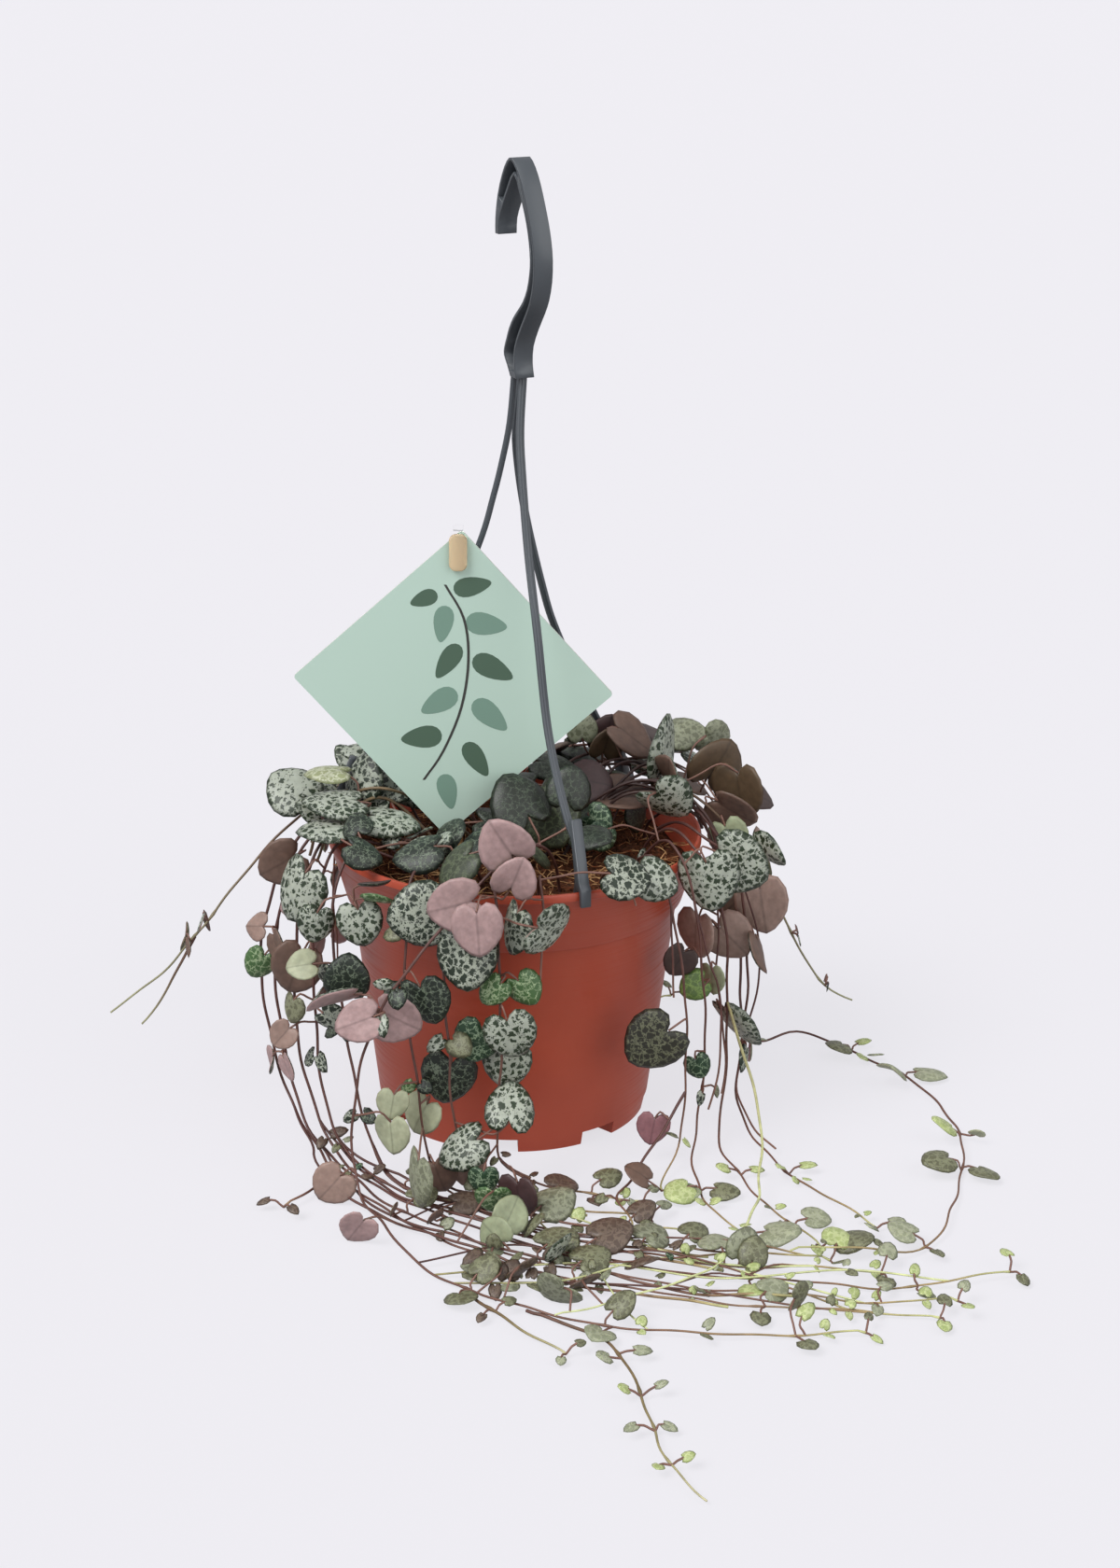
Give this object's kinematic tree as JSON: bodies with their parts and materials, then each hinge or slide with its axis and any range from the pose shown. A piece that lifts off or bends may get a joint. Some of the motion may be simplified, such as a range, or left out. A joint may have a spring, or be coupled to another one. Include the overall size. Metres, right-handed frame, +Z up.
{
  "type": "string of hearts plant in a hanging pot",
  "caption": "Trailing string of hearts with marbled heart-shaped leaves, growing in a moulded nursery pot with a clip-on hanger and a blank care card.",
  "frame": {"origin": "on the pot's axis, at the surface the pot stands on", "axes": "+Z up along the pot's axis, -Y to the front, where the stems sweep over the floor to +X"},
  "size_m": [0.2841, 0.3499, 0.3074],
  "materials": {
    "pot_plastic": "moulded, satin, brick red",
    "soil": null,
    "hanger_plastic": "moulded, satin, slate grey",
    "card_board": "coated card, mint",
    "stick_wood": "bare birch",
    "clip_plastic": "clear, over a pale wooden end",
    "foliage": null
  },
  "bodies": {
    "root": {"pot": "pot_plastic", "soil": "soil", "hanger_hook": "hanger_plastic", "hanger_strap_left": "hanger_plastic", "hanger_strap_back": "hanger_plastic", "hanger_strap_front": "hanger_plastic", "care_card": "card_board", "card_stick": "stick_wood", "card_clip": "clip_plastic", "vine_left_tip": "foliage", "vine_left_sweep_1": "foliage", "vine_left_sweep_2": "foliage", "vine_left_sweep_3": "foliage", "vine_left_sweep_4": "foliage", "vine_left_sweep_5": "foliage", "vine_front_over": "foliage", "vine_front_1": "foliage", "vine_front_2": "foliage", "vine_front_3": "foliage", "vine_front_4": "foliage", "vine_right_1": "foliage", "vine_right_2": "foliage", "vine_right_3": "foliage", "vine_right_4": "foliage", "vine_right_5": "foliage", "vine_right_loop": "foliage", "vine_right_tip": "foliage", "vine_wreath_1": "foliage", "vine_wreath_2": "foliage", "vine_back_1": "foliage", "vine_back_2": "foliage", "vine_back_3": "foliage", "vine_back_4": "foliage", "vine_back_5": "foliage", "vine_wreath_3": "foliage", "vine_crown_rim": "foliage", "vine_crown_card": "foliage", "vine_crown_left": "foliage", "vine_crown_front": "foliage", "vine_crown_right": "foliage", "vine_crown_back": "foliage", "vine_crown_middle": "foliage"}
  },
  "joints": []
}
